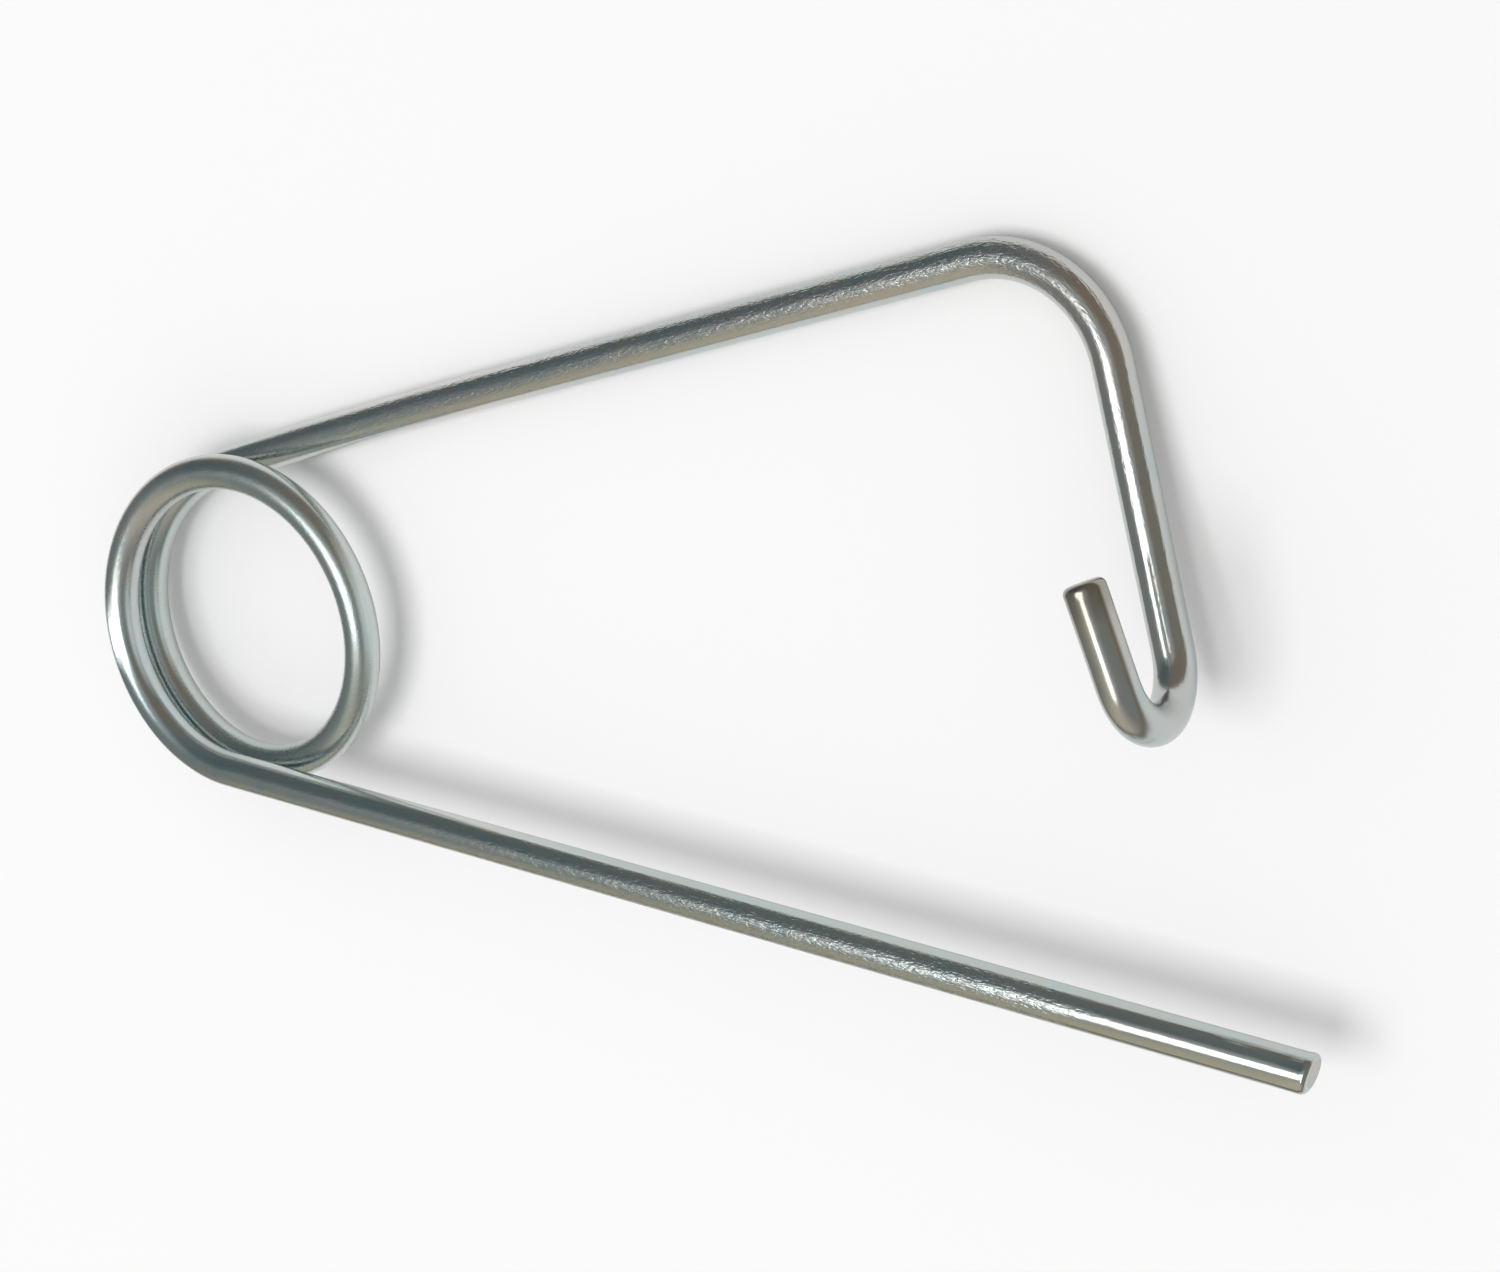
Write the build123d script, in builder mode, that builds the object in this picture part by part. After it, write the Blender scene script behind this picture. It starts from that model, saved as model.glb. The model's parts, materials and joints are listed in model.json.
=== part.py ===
"""Safety cotter pin: one length of round spring wire, bent cold.

The straight pin leg goes through the drilled hole of a clevis pin or a tube. The coil
at its end is the spring, and the arm runs back beside the leg from the coil's other end.
At the far end the arm turns a corner towards the leg and finishes in a hook, which
stands up out of the arm's plane. Pressed in under the hook, the leg is caught there and
the pin can't shake out.

Frame: origin on the coil's axis at the level of the pin's underside, +X along the pin
leg from the coil to its tip, +Z up along the coil's axis. The arm lies lowest, and the
leg lies above it by the height that the coil climbs. Millimetres and degrees.
"""
from build123d import *
import os
from math import atan2, ceil, cos, radians, sin, tan

os.makedirs("parts", exist_ok=True)

# ---------------------------------------------------------------- driving dimensions

WIRE_D = 4.0  # round spring wire

COIL_INNER_D = 31.0  # the eye of the coil
COIL_GAP = 0.75  # daylight between neighbouring turns
COIL_ARC_TURN = 60.0  # the coil's climb is drawn in equal arcs, of this turn at most

LEG_LENGTH = 133.0  # straight pin leg, from the coil's lead-out to the tip
LEG_EASE = 6.5  # degrees of turn between the coil and the leg
LEG_EASE_LENGTH = 2.1

OPEN_ANGLE = 19.5  # degrees between leg and arm, with the pin sprung open
ARM_LENGTH = 60.0  # straight part of the arm
ARM_EASE = 2.0  # degrees of slow turn where the arm leaves the coil
ARM_EASE_LENGTH = 42.0

CORNER_INNER_R = 10.5  # inside radius of the corner at the arm's end
CORNER_TURN = 90.0
CORNER_CANT = 4.75  # degrees that the cross-piece climbs towards the leg's level
CROSS_LENGTH = 26.5  # straight cross-piece between the corner and the hook

HOOK_INNER_R = 4.0  # inside radius of the hook, for the leg to drop into
HOOK_TURN = 166.0  # short of 180, so the mouth of the hook flares open
STUB_LENGTH = 10.0  # straight stub after the hook

LEG_TIP_ROUND = 0.4  # sheared ends with the rim rolled over
STUB_TIP_ROUND = 0.5

# ---------------------------------------------------------------- what follows from them

wire_r = WIRE_D / 2
coil_r = COIL_INNER_D / 2 + wire_r
coil_pitch = WIRE_D + COIL_GAP
corner_r = CORNER_INNER_R + wire_r
hook_r = HOOK_INNER_R + wire_r

# The coil sweeps one and a half turns, less the angle that the arm opens by and less
# the turn that is left to the two eased ends.
coil_sweep = 540 - OPEN_ANGLE - LEG_EASE - ARM_EASE

# It is a chain of equal arcs through points of a helix, so that the wire's surface is
# plain rings and cylinders. The wire climbs at this slope where one arc meets the next,
# which is what makes them run smoothly into each other.
arc_count = ceil(coil_sweep / COIL_ARC_TURN)
arc_turn = coil_sweep / arc_count
arc_climb = coil_pitch * arc_turn / 360
coil_slope = atan2(arc_climb, 2 * coil_r * tan(radians(arc_turn / 2)))

leg_dir = Vector(1, 0, 0)
arm_dir = Vector(1, 0, 0).rotate(Axis.Z, OPEN_ANGLE)

# The wire leaves the coil heading a little down, and the eased length turns it level,
# so the coil starts higher than the arm by what that length drops.
coil_exit_dir = Vector(cos(coil_slope), 0, -sin(coil_slope)).rotate(Axis.Z, OPEN_ANGLE + ARM_EASE)
arm_ease_chord = (coil_exit_dir + arm_dir).normalized() * ARM_EASE_LENGTH
coil_base_z = wire_r - arm_ease_chord.Z

# The corner turns towards the leg, and its plane is canted about the arm, so that the
# cross-piece climbs as it goes. The hook then turns up, square to the arm.
cross_dir = Vector(0, -1, 0).rotate(Axis.Z, OPEN_ANGLE)
cross_dir = cross_dir * cos(radians(CORNER_CANT)) + Vector(0, 0, sin(radians(CORNER_CANT)))
hook_up = cross_dir.cross(arm_dir)


def coil_point(turn: float) -> Vector:
    """Point of the coil's centreline, by degrees of turn up from the arm's side."""
    outwards = Vector(1, 0, 0).rotate(Axis.Z, 90 + OPEN_ANGLE + ARM_EASE + turn)
    return outwards * coil_r + Vector(0, 0, coil_base_z + coil_pitch * turn / 360)


def arc_end(start: Vector, heading: Vector, towards: Vector, radius: float, turn: float) -> Vector:
    """End of an arc that leaves start along heading and turns towards its centre."""
    ahead = heading * (radius * sin(radians(turn)))
    aside = towards * (radius * (1 - cos(radians(turn))))
    return start + ahead + aside


def turned(heading: Vector, towards: Vector, turn: float) -> Vector:
    """Direction of travel after such an arc."""
    return heading * cos(radians(turn)) + towards * sin(radians(turn))


# ---------------------------------------------------------------- the bent wire

with BuildPart() as cotter_pin:
    with BuildLine() as centreline:
        # Coil, climbing from the arm's side to the leg's
        coil_heading = coil_exit_dir * -1
        for i in range(arc_count):
            coil = TangentArc(
                coil_point(i * arc_turn),
                coil_point((i + 1) * arc_turn),
                tangent=coil_heading,
            )
            coil_heading = coil % 1

        # Pin leg, from the coil's upper end
        leg_root = coil @ 1 + (coil_heading + leg_dir).normalized() * LEG_EASE_LENGTH
        TangentArc(coil @ 1, leg_root, tangent=coil_heading)
        leg = Line(leg_root, leg_root + leg_dir * LEG_LENGTH)

        # Arm, from the coil's lower end
        arm_root = coil_point(0) + arm_ease_chord
        TangentArc(coil_point(0), arm_root, tangent=coil_exit_dir)
        arm = Line(arm_root, arm_root + arm_dir * ARM_LENGTH)

        # Corner and cross-piece
        corner_end = arc_end(arm @ 1, arm_dir, cross_dir, corner_r, CORNER_TURN)
        corner_heading = turned(arm_dir, cross_dir, CORNER_TURN)
        TangentArc(arm @ 1, corner_end, tangent=arm_dir)
        cross = Line(corner_end, corner_end + corner_heading * CROSS_LENGTH)

        # Hook and stub
        hook_end = arc_end(cross @ 1, corner_heading, hook_up, hook_r, HOOK_TURN)
        hook_heading = turned(corner_heading, hook_up, HOOK_TURN)
        TangentArc(cross @ 1, hook_end, tangent=corner_heading)
        stub = Line(hook_end, hook_end + hook_heading * STUB_LENGTH)

    # The wire's round section stands square to the leg's tip and follows the bends.
    with BuildSketch(Plane(origin=leg @ 1, z_dir=leg_dir * -1)) as section:
        Circle(wire_r)
    sweep(path=centreline.wires()[0])

    # Sheared ends, with the rims rolled over
    ends = cotter_pin.faces().filter_by(GeomType.PLANE).sort_by(Axis.X)
    fillet(ends[-1].edges(), radius=LEG_TIP_ROUND)
    fillet(ends[0].edges(), radius=STUB_TIP_ROUND)

cotter_pin.part.label = "cotter_pin"
export_step(cotter_pin.part, "parts/cotter_pin.step")
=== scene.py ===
# %% [markdown]
# # A safety cotter pin, bent from one spring wire
#
# The pin is a single length of bright zinc-plated spring wire. A straight leg goes through
# the drilled hole, a coil makes the spring, and an arm runs back to a corner and a hook
# that the leg snaps under. This lesson bends the wire in Blender as a wire former does:
# a round disc is fed forward and turned about one bending axis after another. Then it
# gives the wire its plating, and lights it so that the polished metal has something to
# reflect, because a bright wire shows little but its surroundings.

# %% The frame that everything is measured in
import json
from math import atan2, ceil, cos, pi, radians, sin, tan

import bpy
from mathutils import Matrix, Quaternion, Vector


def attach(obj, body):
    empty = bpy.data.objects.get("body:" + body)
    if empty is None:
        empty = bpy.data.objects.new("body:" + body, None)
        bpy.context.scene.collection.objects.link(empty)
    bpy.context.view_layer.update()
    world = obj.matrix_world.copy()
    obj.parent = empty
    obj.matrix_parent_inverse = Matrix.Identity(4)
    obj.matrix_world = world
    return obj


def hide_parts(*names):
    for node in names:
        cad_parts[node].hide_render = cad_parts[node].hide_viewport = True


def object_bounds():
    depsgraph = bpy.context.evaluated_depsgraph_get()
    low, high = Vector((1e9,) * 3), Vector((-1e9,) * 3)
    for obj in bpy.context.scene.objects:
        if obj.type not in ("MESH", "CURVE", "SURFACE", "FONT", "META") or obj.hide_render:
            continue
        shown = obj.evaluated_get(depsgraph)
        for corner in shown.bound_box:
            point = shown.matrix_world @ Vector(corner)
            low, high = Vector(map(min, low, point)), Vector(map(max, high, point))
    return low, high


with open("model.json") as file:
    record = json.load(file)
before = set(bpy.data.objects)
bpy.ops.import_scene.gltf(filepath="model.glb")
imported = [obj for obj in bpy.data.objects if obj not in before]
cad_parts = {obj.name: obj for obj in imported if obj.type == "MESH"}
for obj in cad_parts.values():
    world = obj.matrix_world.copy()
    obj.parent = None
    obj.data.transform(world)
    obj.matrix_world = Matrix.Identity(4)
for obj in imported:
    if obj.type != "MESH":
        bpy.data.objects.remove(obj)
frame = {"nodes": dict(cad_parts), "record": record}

cad_low, cad_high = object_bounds()
print("CAD box, mm:", [round(v * 1000, 2) for v in cad_high - cad_low])

# %% [markdown]
# ## The bends, as numbers
#
# A wire form is a list of lengths to feed and bends to make, and a wire former's setter
# writes exactly that list. These are this pin's, in metres. They could be measured off the
# solid, but a written list shows what each bend is. The level and the line of the leg, and
# the wire's radius, come from the part's own record, so the bent wire starts where the
# solid model's leg does.

# %% Lengths and bends
leg_mount = next(m for m in frame["record"]["mounts"] if m["name"] == "pin_leg")
wire_r = leg_mount["dims"]["r_mm"] / 1000
leg_line = Vector(leg_mount["pos_m"])

coil_r = 0.0155 + wire_r
coil_pitch = 2 * wire_r + 0.00075
leg_length = 0.133
leg_ease, leg_ease_length = radians(6.5), 0.0021
open_angle = radians(19.5)
arm_length = 0.060
arm_ease, arm_ease_length = radians(2.0), 0.042
corner_r = 0.0105 + wire_r
corner_turn, corner_cant = radians(90), radians(4.75)
cross_length = 0.0265
hook_r = 0.004 + wire_r
hook_turn = radians(166)
stub_length = 0.010
print("wire, mm:", wire_r * 2000, "coil, mm across its middle:", coil_r * 2000)

# %% [markdown]
# ## How the coil climbs
#
# A spring coil is a helix. It could be one long screw curve, but the solid model makes it
# from a chain of equal arcs, each a little tilted, which a bending tool makes too. Here
# the turn is shared out among the arcs, with none above 60 degrees, and the slope comes
# from how far one arc climbs.

# %% Arcs of the coil
coil_sweep = 3 * pi - open_angle - leg_ease - arm_ease
coil_arcs = ceil(coil_sweep / radians(60))
arc_turn = coil_sweep / coil_arcs
arc_climb = coil_pitch * arc_turn / (2 * pi)
coil_slope = atan2(arc_climb, 2 * coil_r * tan(arc_turn / 2))
print("turns in the coil:", round(coil_sweep / (2 * pi), 3), "in", coil_arcs, "arcs")

# %% [markdown]
# ## Which way the wire points
#
# Every bend is given by the direction that the wire leaves it in. From the leg's tip the
# wire runs back along -X, round and down the coil, and out along the arm. The short
# cross-piece is canted up a little, which lifts the hook.

# %% Directions
def heading(azimuth, slope=0.0):
    """Unit vector that points along that azimuth and climbs at that slope."""
    return Vector((cos(azimuth) * cos(slope), sin(azimuth) * cos(slope), sin(slope)))


leg_back = heading(pi)
coil_in = heading(pi - leg_ease, -coil_slope)
arm_out = heading(open_angle)
across = heading(open_angle - pi / 2)
cross_out = across * cos(corner_cant) + Vector((0, 0, sin(corner_cant)))
hook_up = cross_out.cross(arm_out)
print("the cross-piece points", [round(v, 3) for v in cross_out])

# %% [markdown]
# ## Feed and bend
#
# Blender's Spin operator does what a bending tool does: it turns the end of the wire about
# an axis and leaves the swept surface behind it. Extrude feeds the wire straight on. A
# curve with a round bevel would be quicker, but its end caps are flat and square, and it
# keeps no record of the bends. The bender below keeps the end face selected between the two
# operators, and remembers where it is, which way it points and how much wire has gone
# through. One direction across the wire, `side`, is carried along too. It never twists
# about the wire, so it tells later which points lay on one straight line before bending.

# %% The wire bender
RING = 80
FEED_STEP = 0.0025
BEND_STEP = 0.0009


class WireBender:
    """The end of the wire as it is fed and bent, and the stations that it has passed."""

    def __init__(self, start, towards):
        self.at, self.towards = start.copy(), towards.copy()
        self.side = Vector((0, 0, 1))
        self.fed = 0.0
        self.stations = []
        self.note()

    def note(self):
        self.stations.append((self.fed, self.at.copy(), self.towards.copy(), self.side.copy()))

    def push(self, length):
        """One extrusion straight on."""
        move = self.towards * length
        bpy.ops.mesh.extrude_region_move(TRANSFORM_OT_translate={"value": move})
        self.at += move
        self.fed += length

    def feed(self, length):
        """Straight on, in even steps."""
        steps = max(1, round(length / FEED_STEP))
        for _ in range(steps):
            self.push(length / steps)
            self.note()

    def bend(self, to, radius, turn=None):
        """Round a bending axis, until the wire points along to."""
        inwards = (to - self.towards * to.dot(self.towards)).normalized()
        turn = self.towards.angle(to) if turn is None else turn
        centre = self.at + inwards * radius
        axis = self.towards.cross(inwards).normalized()
        steps = max(2, ceil(turn * (radius + wire_r) / BEND_STEP))
        bpy.ops.mesh.spin(steps=steps, angle=turn, center=centre, axis=-axis)
        turning = Matrix.Rotation(turn / steps, 3, axis)
        for _ in range(steps):
            self.at = centre + turning @ (self.at - centre)
            self.towards = turning @ self.towards
            self.side = turning @ self.side
            self.fed += radius * turn / steps
            self.note()

    def ease(self, to, chord):
        """A bend given by the straight distance that it covers."""
        self.bend(to, chord / (2 * sin(self.towards.angle(to) / 2)))

    def round_rim(self, edge, opening, lean=Vector(), steps=7):
        """Rolls the rim of an end: out to the full wire when opening, in from it when not.
        lean is how far the small end face sits off the middle of the wire."""
        size, off, depth = (wire_r - edge, lean, 0.0) if opening else (wire_r, Vector(), 0.0)
        for i in range(1, steps + 1):
            t = i / steps * pi / 2
            inset = 1 - sin(t) if opening else 1 - cos(t)
            new_size, new_off = wire_r - edge * inset, lean * inset
            new_depth = edge * (1 - cos(t) if opening else sin(t))
            self.push(new_depth - depth)
            bpy.ops.transform.translate(value=new_off - off)
            bpy.ops.transform.resize(value=(new_size / size,) * 3,
                                     center_override=self.at + new_off)
            size, off, depth = new_size, new_off, new_depth
        self.note()


# %% [markdown]
# ## The sheared tip of the leg
#
# The wire was cropped from a reel by a shear, so its end is not a turned chamfer. The face
# is a few degrees out of square, a little off the middle, and its rim is rolled over by
# the blade. The first disc is that face. Opening its rim out to the full wire makes the
# rolled edge, and a very short bend brings the wire back to the line of the leg.

# %% Crop the tip
tip_tilt = radians(7)
tip_edge = 0.0005
TIP_REACH = 0.75  # share of the tilted face's reach that its small end face takes up
tip_back = wire_r * tan(tip_tilt) * TIP_REACH
tip = Vector((cad_high.x - tip_back, leg_line.y, leg_line.z))
bpy.ops.object.select_all(action="DESELECT")
bpy.ops.mesh.primitive_circle_add(vertices=RING, radius=wire_r - tip_edge, fill_type="NGON",
                                  location=tip, rotation=(0, pi / 2, -tip_tilt))
wire = bpy.context.active_object
wire.name = "bent_wire"
bpy.ops.object.transform_apply(location=True, rotation=True, scale=True)

bender = WireBender(tip, heading(pi - tip_tilt))
bpy.ops.object.mode_set(mode="EDIT")
bpy.ops.mesh.select_mode(type="FACE")
bpy.ops.mesh.select_all(action="SELECT")
tip_lean = Vector((0, 0.00013, -0.00022))
bpy.ops.transform.translate(value=tip_lean)
bender.round_rim(tip_edge, opening=True, lean=tip_lean)
bender.bend(leg_back, wire_r)
bpy.ops.transform.translate(value=(0, leg_line.y - bender.at.y, 0))
bender.at.y = leg_line.y
print("tip made, mm of wire:", round(bender.fed * 1000, 2))

# %% [markdown]
# ## The leg and the coil
#
# The leg is fed straight back to the coil. A short bend, about as tight as the coil, turns
# the wire inwards and down to where the first arc begins. Then the arcs follow one
# another, each turned and lowered by the same amount.

# %% Feed the leg and wind the coil
bender.feed(bender.at.x - (cad_high.x - leg_length))
bender.ease(coil_in, leg_ease_length)
for i in range(coil_arcs):
    chord = Vector((2 * coil_r * sin(arc_turn / 2), arc_climb)).length
    bender.ease(heading(pi - leg_ease - (i + 1) * arc_turn, -coil_slope), chord)
print("leg and coil made, mm of wire:", round(bender.fed * 1000, 2))

# %% [markdown]
# ## The arm, the corner and the hook
#
# The arm leaves the coil in a long shallow curve. The corner lies almost flat, but the
# hook stands up out of it, so their bending axes are nearly at right angles. This is why
# the bender takes the direction of the wire after each bend, and works out the axis from
# the two directions.

# %% Bend the arm, the corner and the hook
bender.ease(arm_out, arm_ease_length)
bender.feed(arm_length)
bender.bend(cross_out, corner_r, corner_turn)
bender.feed(cross_length)
bender.bend(hook_up, hook_r, hook_turn)
print("hook made, mm of wire:", round(bender.fed * 1000, 2))

# %% [markdown]
# ## The sheared end of the hook
#
# The hook's short end is cropped too. This face looks a little down and back towards the
# coil, and its rim is rounder than the tip's. The wire is fed a little short of
# its full length, the bend tilts the cut, and closing the rim adds the rest. The end could
# be cut by a plane instead, but a cut would leave no rolled rim.

# %% Crop the hook's end
cut_round, cut_square = 0.0007, 0.00045
cut_tilt = radians(13)
cut_lean = heading(radians(-172.8), radians(-52.5))
stub_out = bender.towards.copy()
bender.feed(stub_length - cut_round - cut_square)
bender.bend(stub_out * cos(cut_tilt) + cut_lean * sin(cut_tilt), wire_r)
bender.round_rim(cut_round, opening=False)
print("whole wire, mm:", round(bender.fed * 1000, 2))

# %% [markdown]
# ## Close the skin
#
# Spinning and extruding can leave one ring on top of another, so doubles are merged. Spin
# can also turn faces inside out, which may look black or vanish in other programs, so the
# normals are made to point outwards after the merge.

# %% Merge and smooth
bpy.ops.mesh.select_all(action="SELECT")
bpy.ops.mesh.remove_doubles(threshold=0.000001)
bpy.ops.mesh.normals_make_consistent(inside=False)
bpy.ops.object.mode_set(mode="OBJECT")
bpy.ops.object.shade_smooth()
print("faces:", len(wire.data.polygons))

# %% [markdown]
# ## Where each point lay on the straight wire
#
# Drawing lines, rub marks and pits were on the wire before it was bent, so they follow it
# round the bends. A pattern on plain object coordinates would cut straight through them.
# The bender noted a station at every step. Each point of the mesh looks up its nearest
# station and stores its place on the straight wire: X is the distance from the tip, and Y
# and Z are across the wire, with Y up on the leg.

# %% Straight-wire attribute
from mathutils.kdtree import KDTree

line_tree = KDTree(len(bender.stations))
for i, station in enumerate(bender.stations):
    line_tree.insert(station[1], i)
line_tree.balance()
straight_place = wire.data.attributes.new("straight_wire", "FLOAT_VECTOR", "POINT")
for v in wire.data.vertices:
    fed, at, towards, side = bender.stations[line_tree.find(v.co)[1]]
    off = v.co - at
    straight_place.data[v.index].vector = (fed + off.dot(towards), off.dot(side),
                                           off.dot(side.cross(towards)))
print("stations:", len(bender.stations))

# %% [markdown]
# ## Check the bends against the solid
#
# The solid model of the pin was drawn from the same list. Its mesh has flat facets, so a
# round wire stands out between their corners by up to about a tenth of a millimetre. More
# than that along the wire would be a wrong bend. Only the two ends differ further, by under
# half a millimetre, because the solid's are plain and these are sheared.

# %% Measure the bent wire
from mathutils.bvhtree import BVHTree

solid = frame["nodes"]["cotter_pin"]
solid_skin = BVHTree.FromPolygons([v.co for v in solid.data.vertices],
                                  [p.vertices for p in solid.data.polygons])
END_LENGTH = 0.003
between, at_ends = [], []
for v in wire.data.vertices:
    along_wire = straight_place.data[v.index].vector.x
    gap = solid_skin.find_nearest(v.co)[3] * 1000
    away_from_ends = END_LENGTH < along_wire < bender.fed - END_LENGTH
    (between if away_from_ends else at_ends).append(gap)
print("largest distance to the solid, mm:", round(max(between), 3),
      "and at the ends:", round(max(at_ends), 3))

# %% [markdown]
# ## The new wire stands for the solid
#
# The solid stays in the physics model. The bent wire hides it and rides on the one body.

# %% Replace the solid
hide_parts("cotter_pin")
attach(wire, "root")
print(wire.name, "stands for cotter_pin")

# %% [markdown]
# ## The camera
#
# The pin lies flat on its arm, and is seen from the hook's side, well above it and from
# near by, so the coil looks smaller than the hook for its size. The camera is rolled until
# the leg runs from the upper left to the lower right.

# %% Place the camera
aim = Vector((0.06504, 0.00886, 0.0))
looking = heading(radians(-149.19), radians(-53.57))
camera_data = bpy.data.cameras.new("camera")
camera = bpy.data.objects.new("camera", camera_data)
bpy.context.scene.collection.objects.link(camera)
camera_data.lens = 63.81
camera_data.sensor_width = 36
camera_data.clip_start = 0.01
CAMERA_DISTANCE = 0.2760
CAMERA_ROLL = radians(-114.2)
camera.location = aim - looking * CAMERA_DISTANCE
camera.rotation_mode = "QUATERNION"
camera.rotation_quaternion = (looking.to_track_quat("-Z", "Y")
                              @ Quaternion((0, 0, 1), CAMERA_ROLL))
bpy.context.scene.camera = camera
print("camera at", [round(v, 3) for v in camera.location])

# %% [markdown]
# ## Small helpers for nodes
#
# Node trees get long when each node is placed and linked by hand. `add` places one node,
# sets it up, and links or fills its inputs. The others are the three nodes that a finish
# needs most: a sum, a change of range and a colour ramp.

# %% Node helpers
def add(tree, kind, inputs=None, **settings):
    """Places a node. An input that is a socket is linked, and any other is a plain value."""
    node = tree.nodes.new(kind)
    for name, value in settings.items():
        setattr(node, name, value)
    for name, value in (inputs or {}).items():
        socket = node.inputs[name]
        if isinstance(value, bpy.types.NodeSocket):
            tree.links.new(value, socket)
        else:
            socket.default_value = value
    return node


def maths(tree, operation, a, b):
    return add(tree, "ShaderNodeMath", {0: a, 1: b}, operation=operation).outputs[0]


def remap(tree, value, low, high, to_low=0.0, to_high=1.0, how="LINEAR"):
    return add(tree, "ShaderNodeMapRange",
               {"Value": value, "From Min": low, "From Max": high, "To Min": to_low,
                "To Max": to_high}, interpolation_type=how).outputs["Result"]


def blend(tree, a, b, factor=1.0, how="MIX"):
    """Mixes two colours, or multiplies them when how is MULTIPLY."""
    return add(tree, "ShaderNodeMix", {0: factor, 6: a, 7: b}, data_type="RGBA",
               blend_type=how).outputs[2]


def ramp(tree, factor, stops):
    node = add(tree, "ShaderNodeValToRGB", {"Fac": factor})
    band = node.color_ramp.elements
    while len(band) < len(stops):
        band.new(0.5)
    for element, (position, colour) in zip(band, stops):
        element.position = position
        element.color = (*colour, 1.0)
    return node.outputs["Color"]


# %% [markdown]
# ## The room that the wire reflects
#
# Bright plating is close to a mirror, so most of its colour is the room's. This room is
# made up: warm and light on one side, dim and cool on the other, and an even grey
# overhead. A picture of a room would do, but a colour ramp round the compass is easier to
# change wall by wall. Keys are degrees round from +X.

# %% Walls and ceiling
world = bpy.data.worlds.new("studio")
bpy.context.scene.world = world
world.use_nodes = True
room = world.node_tree
room.nodes.clear()
direction = add(room, "ShaderNodeTexCoord").outputs["Generated"]
facing = add(room, "ShaderNodeSeparateXYZ", {0: direction}).outputs
compass = maths(room, "ARCTAN2", facing["Y"], facing["X"])
compass = maths(room, "ADD", maths(room, "MULTIPLY", compass, 1 / (2 * pi)), 0.5)
WALLS = {-180: (0.20, 0.22, 0.22), -140: (0.25, 0.26, 0.25), -120: (0.48, 0.44, 0.34),
         -100: (0.60, 0.54, 0.43), -80: (0.53, 0.49, 0.42), -60: (0.36, 0.33, 0.30),
         -40: (0.25, 0.25, 0.24), -10: (0.25, 0.27, 0.26), 20: (0.235, 0.22, 0.185),
         45: (0.24, 0.195, 0.155), 80: (0.23, 0.19, 0.15), 105: (0.18, 0.19, 0.19),
         135: (0.11, 0.14, 0.145), 160: (0.12, 0.14, 0.15), 180: (0.20, 0.22, 0.22)}
walls = ramp(room, compass, [((azimuth + 180) / 360, colour)
                             for azimuth, colour in WALLS.items()])
overhead_share = remap(room, facing["Z"], sin(radians(48)), sin(radians(68)), how="SMOOTHSTEP")
seen_room = blend(room, walls, (0.40, 0.42, 0.41, 1), overhead_share)
print("tones round the room:", len(WALLS))

# %% [markdown]
# ## Fill light and backdrop
#
# A world can be different things to different rays. The metal reflects the room, the floor
# is lit by a plain grey fill so that the walls don't tint it, and the camera sees plain
# white past the floor's edge. The Light Path node tells these rays apart.

# %% Fill light and backdrop
ray = add(room, "ShaderNodeLightPath").outputs
seen_room = blend(room, seen_room, (0.62, 0.62, 0.62, 1), ray["Is Diffuse Ray"])
room_light = add(room, "ShaderNodeBackground", {"Color": seen_room})
backdrop = add(room, "ShaderNodeBackground", {"Color": (1, 1, 1, 1)})
either = add(room, "ShaderNodeMixShader",
             {0: ray["Is Camera Ray"], 1: room_light.outputs[0], 2: backdrop.outputs[0]})
add(room, "ShaderNodeOutputWorld", {"Surface": either.outputs[0]})
print("nodes in the room:", len(room.nodes))

# %% [markdown]
# ## The floor
#
# The floor shows where the pin lies, through its soft shadow. It could be cut away and the
# shadow caught by itself, but a plain white matt plane is simpler, and also gives the wire
# something pale to reflect.

# %% A plain floor
bpy.ops.object.select_all(action="DESELECT")
FLOOR_SIZE = 3.0
middle_x = cad_low.x / 2 + cad_high.x / 2
bpy.ops.mesh.primitive_plane_add(size=FLOOR_SIZE, location=(middle_x, 0, 0))
floor = bpy.context.active_object
floor.name = "floor"
bpy.ops.object.transform_apply(location=True)

paper = bpy.data.materials.new("white_paper")
paper.use_nodes = True
sheet = paper.node_tree
paper_shader = sheet.nodes["Principled BSDF"]
paper_shader.inputs["Roughness"].default_value = 1.0
paper_shader.inputs["Specular IOR Level"].default_value = 0.0
floor.data.materials.append(paper)
print("floor, m across:", round(floor.dimensions.x, 2))

# %% [markdown]
# ## What the metal sees of the floor
#
# In the metal, the floor is a sheet of white paper on a brown table. The sheet makes the
# pale bands along the underside of the wire, and the table beyond it makes their dark
# edges. Real sheets would show in the picture too, so only glossy rays find these edges.
# Each is a direction and the distances, in metres, over which the paper gives way to the
# table, and one edge runs beside the arm. Near the coil the paper is painted lighter and
# warmer in the metal. This is painted light: it takes away the coil's shadow, which the metal
# would otherwise reflect there.

# %% The sheet and the table, as the metal sees them
sheet_place = add(sheet, "ShaderNodeTexCoord").outputs["Object"]
SHEET_EDGES = [(heading(-pi / 2), 0.022, 0.070), (heading(open_angle + pi / 2), 0.026, 0.075),
               (heading(0), 0.140, 0.190), (heading(pi), 0.060, 0.120)]
off_sheet = 0.0
for outwards, start, end in SHEET_EDGES:
    way_out = add(sheet, "ShaderNodeVectorMath", {0: sheet_place, 1: outwards},
                  operation="DOT_PRODUCT").outputs["Value"]
    past_edge = remap(sheet, way_out, start, end, how="SMOOTHSTEP")
    off_sheet = maths(sheet, "MAXIMUM", off_sheet, past_edge)
sheet_x = add(sheet, "ShaderNodeSeparateXYZ", {0: sheet_place}).outputs["X"]
# Painted light: in the metal's reflections, the paper near the coil is made lighter and
# warmer.
painted_light_near_coil = remap(sheet, sheet_x, 0.050, 0.020, how="SMOOTHSTEP")
in_metal = add(sheet, "ShaderNodeLightPath").outputs["Is Glossy Ray"]
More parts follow.
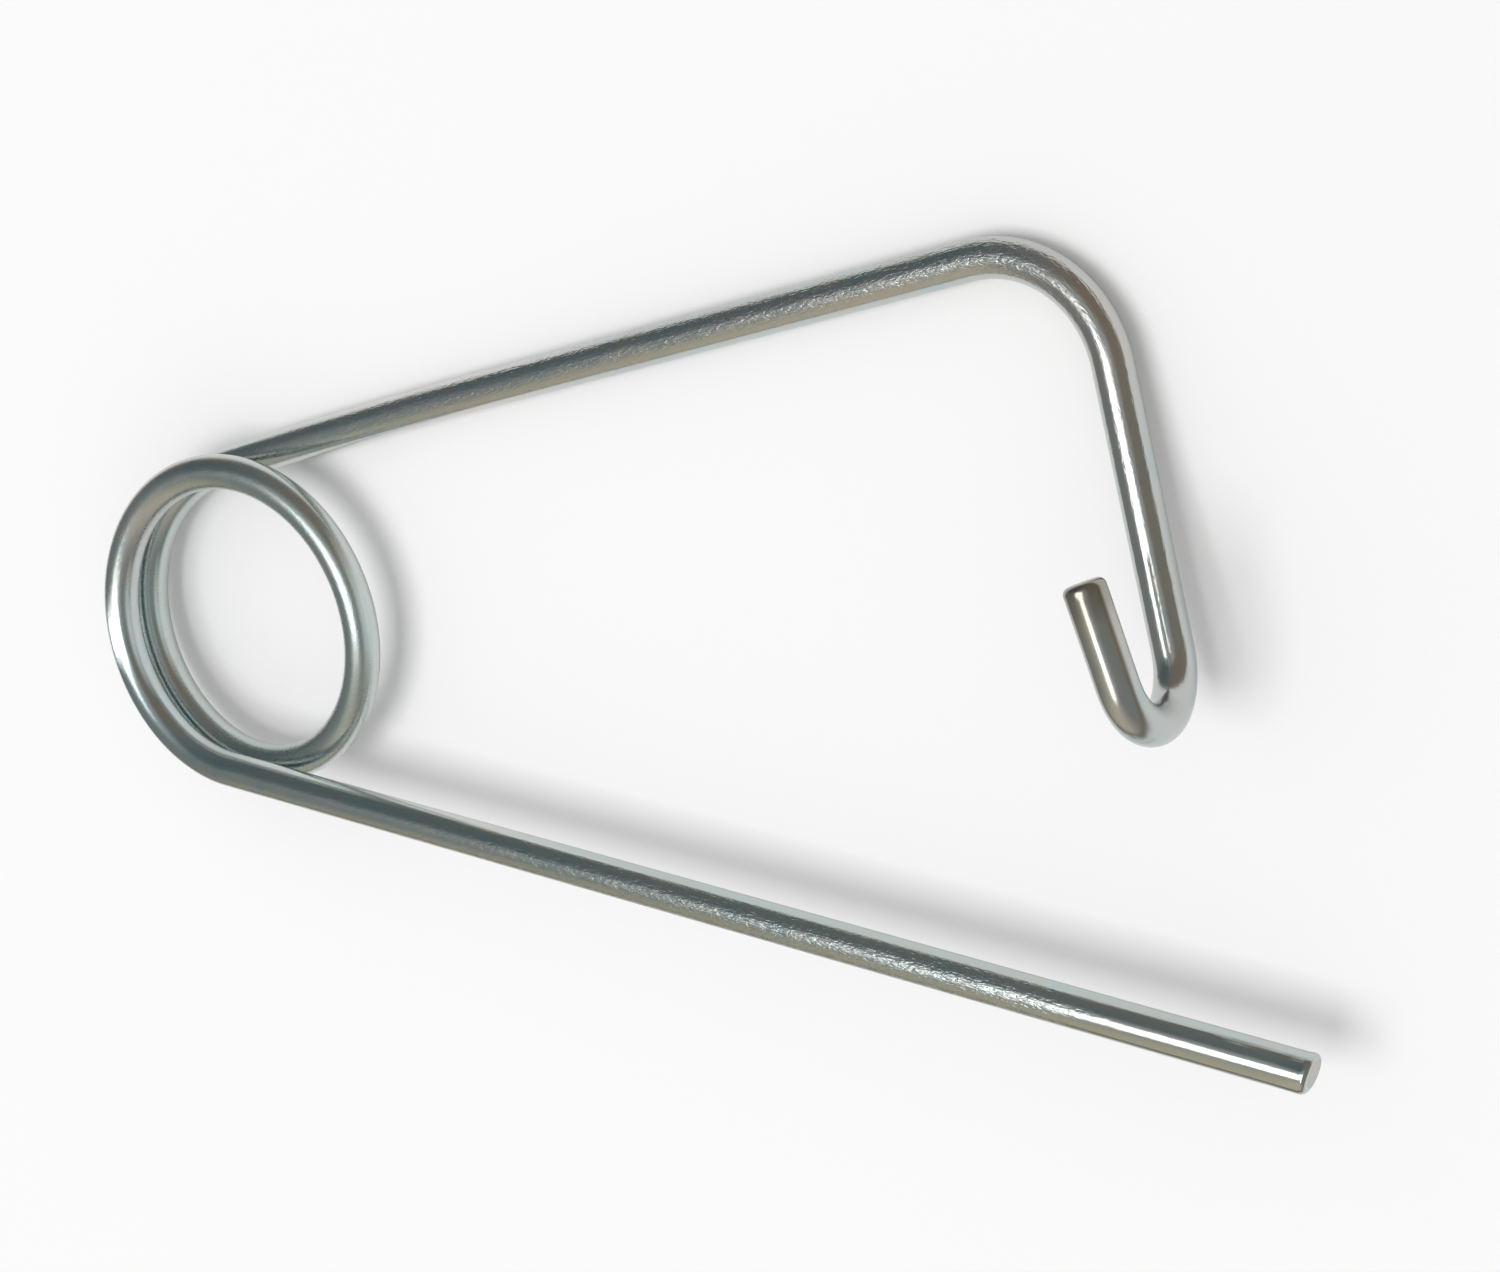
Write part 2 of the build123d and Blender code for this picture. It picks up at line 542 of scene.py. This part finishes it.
sheet_in_metal = blend(sheet, (0.80, 0.83, 0.82, 1), (0.99, 0.95, 0.93, 1), painted_light_near_coil)
sheet_tone = blend(sheet, (0.93, 0.93, 0.93, 1), sheet_in_metal, in_metal)
table_share = maths(sheet, "MULTIPLY", off_sheet, in_metal)
floor_tone = blend(sheet, sheet_tone, (0.22, 0.18, 0.13, 1), table_share)
sheet.links.new(floor_tone, paper_shader.inputs["Base Color"])
print("edges of the sheet:", len(SHEET_EDGES))

# %% [markdown]
# ## The lamps
#
# One large softbox high overhead makes the long white highlight and the soft shadow. A
# second lamp in the same place adds only to the floor, so that the white paper can be
# bright without the highlight growing too strong. A lamp's power is worked out from the
# radiance that it should have, so lamps of any size can be compared.

# %% Softbox and key
def area_lamp(name, place, target, width, height, radiance, grid=180, colour=(1, 1, 1)):
    """A soft lamp with that radiance along its axis. grid is the angle, in degrees, that a
    honeycomb in front of it lets through, which would otherwise make its middle brighter."""
    data = bpy.data.lights.new(name, "AREA")
    data.shape = "RECTANGLE"
    data.size, data.size_y = width, height
    data.energy = radiance * pi * width * height
    if grid < 180:
        data.spread = radians(grid)
        data.energy *= 1 - data.spread / 2 / tan(data.spread / 2)
    data.color = colour
    lamp = bpy.data.objects.new(name, data)
    bpy.context.scene.collection.objects.link(lamp)
    lamp.location = place
    lamp.rotation_mode = "QUATERNION"
    lamp.rotation_quaternion = (target - place).to_track_quat("-Z", "Y")
    lamp.visible_camera = False
    return lamp


overhead, below = Vector((-0.085, -0.145, 1.5)), Vector((-0.085, -0.145, 0.0))
BOX_WIDTH, BOX_HEIGHT = 0.97, 0.79
softbox = area_lamp("softbox", overhead, below, BOX_WIDTH, BOX_HEIGHT, radiance=2.3)
key = area_lamp("key", overhead, below, BOX_WIDTH, BOX_HEIGHT, radiance=2.4)
key.visible_glossy = False
print("softbox, W:", round(softbox.data.energy, 2), "key, W:", round(key.data.energy, 2))

# %% [markdown]
# ## Small reflectors
#
# A studio that lights polished metal adds small lamps and cards that only the metal shows.
# A gridded box puts the cream band on the hook's short end. A bow of little cards, bent
# over the outer side of the coil, makes the short white patch there: each card shines
# through a narrow grid, which keeps it off most of the other wire. A low card in front of
# the coil softens the line where its sides stop reflecting the paper. The leg runs through
# that card, so from behind the pin the leg shows a hard step in tone there. None of these
# lamps lights the floor.

# %% Side box, bow and low card
stub_middle = Vector((0.113, 0.022, 0.018))
side_place = stub_middle + Vector((0.05, -0.52, 1.0)) * 0.27
side_box = area_lamp("side_box", side_place, stub_middle, 0.10, 0.15, radiance=5.5, grid=24,
                     colour=(1.0, 0.95, 0.86))
low_card = area_lamp("low_card", Vector((0.075, 0.005, 0.020)), Vector((0.0, 0.0, 0.012)),
                     0.20, 0.06, radiance=0.62, grid=110)
reflectors = [side_box, low_card]
coil_flank = Vector((-0.0171, -0.0040, 0.0105))
BOW_FACES = radians(-160)
BOW_RADIUS = 0.03
for i in range(10):
    lift = radians(16 + 10 * i)
    out = heading(BOW_FACES) * cos(lift) + Vector((0, 0, sin(lift)))
    card = area_lamp(f"bow_{i}", coil_flank + out * BOW_RADIUS, coil_flank, 0.0065, 0.0054,
                     radiance=5.0, grid=16)
    reflectors.append(card)
for lamp in reflectors:
    lamp.visible_diffuse = False
print("reflectors:", len(reflectors))

# %% [markdown]
# ## The film on the plating
#
# Bright zinc is dipped in a clear passivate, which leaves a film thinner than a wavelength
# of light. Where it is uneven the metal turns faintly blue, pink or straw. Two finishes
# need it, the wire and its sheared ends, so it is a node group that puts out a tint and
# the cloud behind it, which also varies the shine.

# %% Film group
def new_group(name, inputs, outputs):
    """An empty node group with those sockets, and its two end nodes' sockets."""
    group = bpy.data.node_groups.new(name, "ShaderNodeTree")
    for socket_name, kind in inputs:
        group.interface.new_socket(socket_name, in_out="INPUT", socket_type=kind)
    for socket_name, kind in outputs:
        group.interface.new_socket(socket_name, in_out="OUTPUT", socket_type=kind)
    start, end = group.nodes.new("NodeGroupInput"), group.nodes.new("NodeGroupOutput")
    return group, start.outputs, end.inputs


def noise(tree, vector, scale, detail=2.0, roughness=0.5, distortion=0.0):
    return add(tree, "ShaderNodeTexNoise",
               {"Vector": vector, "Scale": scale, "Detail": detail, "Roughness": roughness,
                "Distortion": distortion}).outputs["Fac"]


film, film_in, film_out = new_group(
    "passivate_film",
    [("Where", "NodeSocketVector"), ("Strength", "NodeSocketFloat")],
    [("Tint", "NodeSocketColor"), ("Cloud", "NodeSocketFloat")])
cloud = noise(film, film_in["Where"], 0.35, detail=3.0, roughness=0.55)
film_colours = ramp(film, cloud, [(0.28, (0.82, 0.94, 1.06)), (0.40, (0.96, 1.01, 1.03)),
                                  (0.50, (1.00, 1.00, 1.00)), (0.60, (1.03, 0.95, 0.98)),
                                  (0.72, (1.04, 0.98, 0.86))])
film.links.new(blend(film, (1, 1, 1, 1), film_colours, film_in["Strength"]), film_out["Tint"])
film.links.new(cloud, film_out["Cloud"])
print("group:", film.name)

# %% [markdown]
# ## Drawing lines and pits
#
# Drawing the wire through a die leaves fine lines along it, and handling before plating
# leaves small pits and dents that the thin plating doesn't fill. Both are only a few
# hundredths of a millimetre deep, too fine for the mesh, so they are a height for a Bump
# node. The lines are noise pulled out along the wire, and the pits are noise pulled out
# a little. The group also puts out where the metal is grainy, to dull it there.

# %% Relief group
relief, relief_in, relief_out = new_group(
    "drawn_wire_relief",
    [("Where", "NodeSocketVector"), ("Pitting", "NodeSocketFloat"),
     ("Lines", "NodeSocketFloat")],
    [("Height", "NodeSocketFloat"), ("Grain", "NodeSocketFloat")])


def pulled(tree, vector, along_wire):
    """Coordinates in which a pattern is drawn out along the wire."""
    return add(tree, "ShaderNodeVectorMath", {0: vector, 1: (along_wire, 1.0, 1.0)},
               operation="MULTIPLY").outputs[0]


def up_and_down(tree, pattern, strength):
    """A pattern round 0.5 made a height round 0, of that strength."""
    return maths(tree, "MULTIPLY", maths(tree, "SUBTRACT", pattern, 0.5), strength)


lines = noise(relief, pulled(relief, relief_in["Where"], 0.06), 4.5, detail=1.0)
pits = noise(relief, pulled(relief, relief_in["Where"], 0.32), 4.2, detail=1.5, roughness=0.55,
             distortion=0.6)
pits = remap(relief, pits, 0.25, 0.75)
height = maths(relief, "ADD", up_and_down(relief, lines, relief_in["Lines"]),
               up_and_down(relief, pits, relief_in["Pitting"]))
relief.links.new(height, relief_out["Height"])
streaks = maths(relief, "MULTIPLY", remap(relief, lines, 0.46, 0.64), relief_in["Lines"])
grainy = maths(relief, "MULTIPLY", pits, relief_in["Pitting"])
relief.links.new(maths(relief, "MAXIMUM", grainy, streaks), relief_out["Grain"])
print("group:", relief.name)

# %% [markdown]
# ## The plated wire
#
# Its material reads the straight-wire attribute, in millimetres, so every mark follows the
# wire. The first nodes say where the wire is marked: mostly along the outer half of the
# leg and along the arm up to the corner, and only on one side of the wire, which faces up
# on the leg and roughly up on the arm. The underside isn't known, so it is left plain. A
# painted mask would allow more, but a list of places along the wire is easier to read.

# %% Where the wire is marked
plated = bpy.data.materials.new("bright_zinc")
plated.use_nodes = True
zinc = plated.node_tree
zinc_shader = zinc.nodes["Principled BSDF"]
zinc_shader.inputs["Metallic"].default_value = 1.0
WIRE_MM = 467.0


def straight_wire(tree):
    """The place on the straight wire, in millimetres."""
    place = add(tree, "ShaderNodeAttribute", attribute_name="straight_wire").outputs["Vector"]
    return add(tree, "ShaderNodeVectorMath", {0: place, 1: (1000, 1000, 1000)},
               operation="MULTIPLY").outputs[0]


zinc_place = straight_wire(zinc)
zinc_xyz = add(zinc, "ShaderNodeSeparateXYZ", {0: zinc_place}).outputs
wire_share = maths(zinc, "MULTIPLY", zinc_xyz["X"], 1 / WIRE_MM)


def colour_along(stops):
    """A colour that changes along the wire, given at millimetres from the tip."""
    return ramp(zinc, wire_share, [(mm / WIRE_MM, colour) for mm, colour in stops.items()])


def value_along(stops):
    """The same for a plain value."""
    greys = colour_along({mm: (value,) * 3 for mm, value in stops.items()})
    return add(zinc, "ShaderNodeSeparateColor", {0: greys}).outputs["Red"]


marked = value_along({0: 0.05, 18: 0.10, 27: 1.0, 75: 0.9, 105: 0.45, 135: 0.2, 290: 0.2,
                      320: 0.7, 400: 1.0, 412: 0.25, 467: 0.1})
marked = maths(zinc, "MULTIPLY", marked, remap(zinc, zinc_xyz["Y"], 0.7, 1.5))
zinc_relief = add(zinc, "ShaderNodeGroup", node_tree=relief)
zinc.links.new(zinc_place, zinc_relief.inputs["Where"])
zinc.links.new(marked, zinc_relief.inputs["Pitting"])
LINES_TO_PITS = 0.8
zinc.links.new(maths(zinc, "MULTIPLY", marked, LINES_TO_PITS), zinc_relief.inputs["Lines"])
print("material:", plated.name)

# %% [markdown]
# ## Its colour
#
# The plating here reflects about six tenths of the light, with a trace of blue-green. It is
# bluer at the start of the coil and warmer over the corner. One flat colour would do for new
# wire, but not for this one. The very end of the hook is painted darker and browner. This is
# painted shade, a darker reflection painted into its colour. The film's tint is laid over that
# at half strength.

# %% Colour of the wire
zinc_film = add(zinc, "ShaderNodeGroup", node_tree=film)
zinc.links.new(zinc_place, zinc_film.inputs["Where"])
zinc_film.inputs["Strength"].default_value = 0.5
# The last two tones, at the hook's very end, are painted shade and not the wire's own colour.
METAL = {
    0: (0.58, 0.62, 0.60), 130: (0.565, 0.62, 0.61), 150: (0.525, 0.61, 0.63),
    172: (0.58, 0.605, 0.59), 200: (0.54, 0.61, 0.60), 290: (0.54, 0.61, 0.60),
    330: (0.58, 0.61, 0.60), 395: (0.60, 0.61, 0.59), 408: (0.62, 0.60, 0.575),
    425: (0.60, 0.61, 0.59), 445: (0.59, 0.61, 0.60), 456: (0.58, 0.60, 0.59),
    463: (0.57, 0.56, 0.52), 465.6: (0.40, 0.375, 0.33)}
zinc.links.new(blend(zinc, colour_along(METAL), zinc_film.outputs["Tint"], how="MULTIPLY"),
               zinc_shader.inputs["Base Color"])
print("tones along the wire:", len(METAL))

# %% [markdown]
# ## Its shine
#
# The leg, the arm and the corner shine most. The coil is the dullest, so that its two
# passes don't mirror each other too sharply, and the hook's end lies between. The film's
# cloud varies the shine by a few hundredths, and the marked places are duller still.

# %% Shine and bump of the wire
dullness = value_along({0: 0.13, 100: 0.16, 140: 0.20, 160: 0.25, 275: 0.25, 330: 0.15,
                        440: 0.15, 455: 0.21, 467: 0.21})
dullness = maths(zinc, "ADD", dullness,
                 remap(zinc, zinc_film.outputs["Cloud"], 0.3, 0.7, -0.03, 0.04))
dullness = maths(zinc, "ADD", dullness,
                 maths(zinc, "MULTIPLY", zinc_relief.outputs["Grain"], 0.15))
zinc.links.new(dullness, zinc_shader.inputs["Roughness"])


def bump(tree, height, depth, shader):
    node = add(tree, "ShaderNodeBump", {"Strength": 1.0, "Distance": depth, "Height": height})
    tree.links.new(node.outputs["Normal"], shader.inputs["Normal"])


MARK_DEPTH = 0.000032
bump(zinc, zinc_relief.outputs["Height"], MARK_DEPTH, zinc_shader)
wire.data.materials.append(plated)
print("depth scale of the marks, mm:", MARK_DEPTH * 1000)

# %% [markdown]
# ## The sheared ends
#
# A shear tears the last part of its cut, so the end faces are duller and browner than the
# drawn wire. They share its film and its relief, at other strengths. The two end faces are
# the only ones with as many corners as the ring, which is how the script finds them.

# %% Sheared faces
sheared = bpy.data.materials.new("sheared_face")
sheared.use_nodes = True
cut = sheared.node_tree
cut_shader = cut.nodes["Principled BSDF"]
cut_shader.inputs["Metallic"].default_value = 1.0
cut_place = straight_wire(cut)
cut_film = add(cut, "ShaderNodeGroup", node_tree=film)
cut.links.new(cut_place, cut_film.inputs["Where"])
cut_film.inputs["Strength"].default_value = 1.0
cut.links.new(blend(cut, (0.60, 0.575, 0.53, 1), cut_film.outputs["Tint"], how="MULTIPLY"),
              cut_shader.inputs["Base Color"])
cut_relief = add(cut, "ShaderNodeGroup", node_tree=relief)
cut.links.new(cut_place, cut_relief.inputs["Where"])
cut_relief.inputs["Pitting"].default_value = 0.6
cut_relief.inputs["Lines"].default_value = 0.6
cut.links.new(remap(cut, cut_relief.outputs["Grain"], 0.0, 1.0, 0.35, 0.45),
              cut_shader.inputs["Roughness"])
TEAR_DEPTH = 0.00002
bump(cut, cut_relief.outputs["Height"], TEAR_DEPTH, cut_shader)
wire.data.materials.append(sheared)
end_faces = [face for face in wire.data.polygons if len(face.vertices) == RING]
for face in end_faces:
    face.material_index = 1
print("sheared end faces:", len(end_faces))

# %% [markdown]
# ## Finish
#
# The solid's box is printed once more, corner by corner. The view transform is Standard, which
# shows a colour as it was written.

# %% Measure and finish
bpy.context.scene.view_settings.view_transform = "Standard"
print("CAD box, mm:", [round(v * 1000, 2) for v in (*cad_low, *cad_high)])
